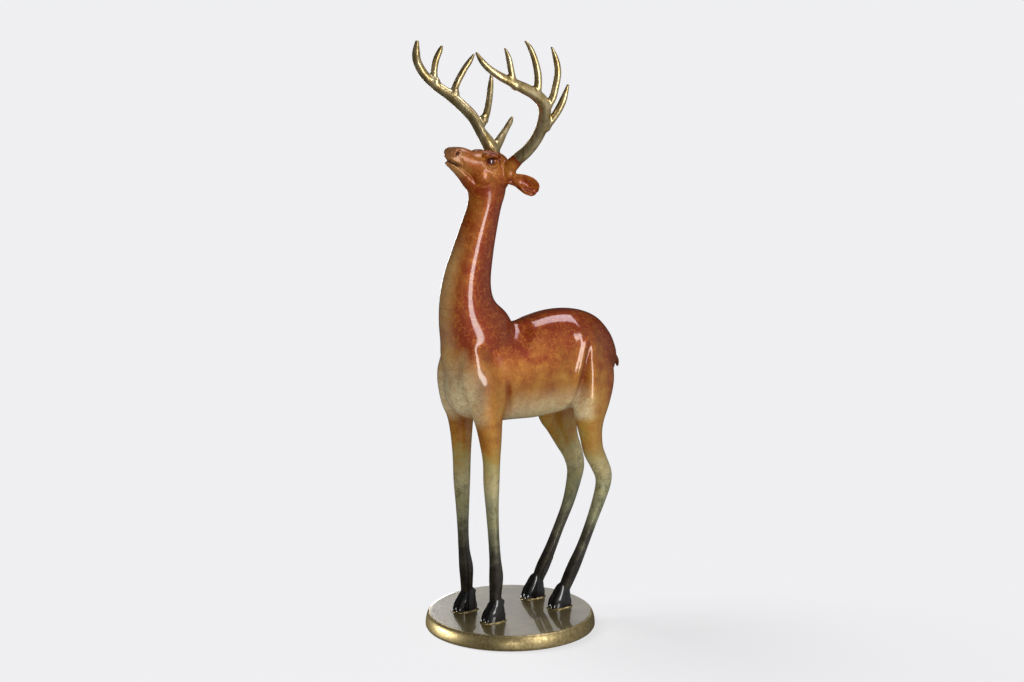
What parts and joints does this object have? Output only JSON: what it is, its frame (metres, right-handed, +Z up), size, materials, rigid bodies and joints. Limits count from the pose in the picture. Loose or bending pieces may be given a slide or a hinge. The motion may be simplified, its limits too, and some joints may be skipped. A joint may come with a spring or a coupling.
{
  "type": "bronze stag statuette",
  "caption": "Patinated bronze stag standing on a round bronze base with its head raised, cast in hollow sections that are joined together and bolted to the base.",
  "frame": {"origin": "centre of the felt's underside, on the surface that the statuette stands on", "axes": "+Z up, -Y the way the stag faces, +X its left side"},
  "size_m": [0.1524, 0.1921, 0.5286],
  "materials": {
    "base_bronze": "polished olive bronze under clear lacquer",
    "body_patina": "glossy lacquered hot patina, red-brown running into tan",
    "leg_patina": "glossy lacquered hot patina, amber running down into near-black",
    "tail_patina": "glossy dark brown patina",
    "antler_bronze": "satin golden bronze with darker recesses",
    "zinc_steel": "zinc-plated steel",
    "felt": "dark green wool felt"
  },
  "bodies": {
    "root": {"base_plate": "base_bronze", "felt_pad": "felt", "foot_studs": "zinc_steel", "stud_washers": "zinc_steel", "stud_nuts": "zinc_steel", "front_left_leg": "leg_patina", "front_right_leg": "leg_patina", "hind_left_leg": "leg_patina", "hind_right_leg": "leg_patina", "torso": "body_patina", "neck": "body_patina", "head": "body_patina", "left_ear": "body_patina", "right_ear": "body_patina", "tail": "tail_patina", "left_antler": "antler_bronze", "right_antler": "antler_bronze", "antler_dowels": "zinc_steel"}
  },
  "joints": []
}
